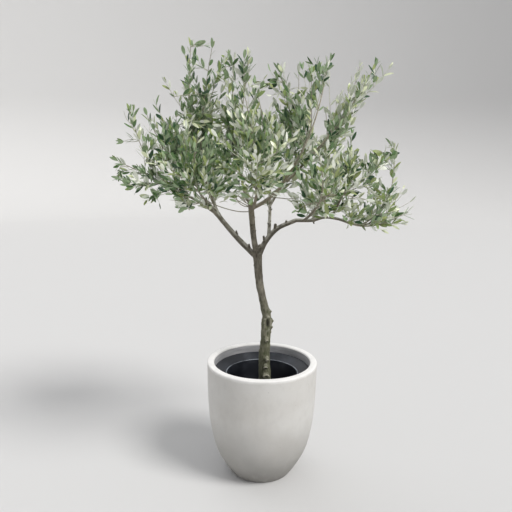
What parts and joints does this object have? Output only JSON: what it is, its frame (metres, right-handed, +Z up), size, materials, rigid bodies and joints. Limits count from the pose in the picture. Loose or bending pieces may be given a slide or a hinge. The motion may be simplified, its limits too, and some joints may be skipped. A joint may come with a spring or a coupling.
{
  "type": "potted olive tree",
  "caption": "Young olive tree with a leaning, knotted trunk and an open, spreading crown of narrow grey-green leaves, in a tall egg-shaped planter with a rounded rim.",
  "frame": {"origin": "centre of the planter's flat underside", "axes": "+Z up the trunk; +X towards the long low bough; +Y away from the crown's fuller, front side"},
  "size_m": [1.1301, 0.85, 1.679],
  "materials": {
    "fibre_clay": "matt, warm light grey, faintly streaked and pitted",
    "liner_plastic": "satin, near black",
    "potting_soil": "rough, dark brown",
    "trunk_bark": "rough grey-brown bark with green moss low down",
    "bough_bark": "smooth grey-brown young bark",
    "olive_foliage": "leathery grey-green leaves, silvery underneath"
  },
  "bodies": {
    "root": {"planter": "fibre_clay", "liner": "liner_plastic", "soil": "potting_soil", "trunk": "trunk_bark", "bough_left": "bough_bark", "bough_leader": "bough_bark", "bough_right": "bough_bark", "bough_right_outer": "bough_bark", "bough_back": "bough_bark", "limb_leader_right": "bough_bark", "limb_left_outer": "bough_bark", "limb_top_left": "bough_bark", "limb_left_front": "bough_bark", "limb_left_back": "bough_bark", "limb_leader_up": "bough_bark", "limb_centre_front": "bough_bark", "limb_top_right": "bough_bark", "limb_upper_right": "bough_bark", "limb_right_front": "bough_bark", "limb_right_back": "bough_bark", "limb_right_middle": "bough_bark", "foliage_left_outer": "olive_foliage", "foliage_left_upper": "olive_foliage", "foliage_top_left": "olive_foliage", "foliage_left_front": "olive_foliage", "foliage_left_back": "olive_foliage", "foliage_top_middle": "olive_foliage", "foliage_middle_front": "olive_foliage", "foliage_middle_back": "olive_foliage", "foliage_top_right": "olive_foliage", "foliage_upper_right": "olive_foliage", "foliage_right_high": "olive_foliage", "foliage_right_front": "olive_foliage", "foliage_right_back": "olive_foliage", "foliage_right_outer": "olive_foliage", "foliage_right_middle": "olive_foliage"}
  },
  "joints": []
}
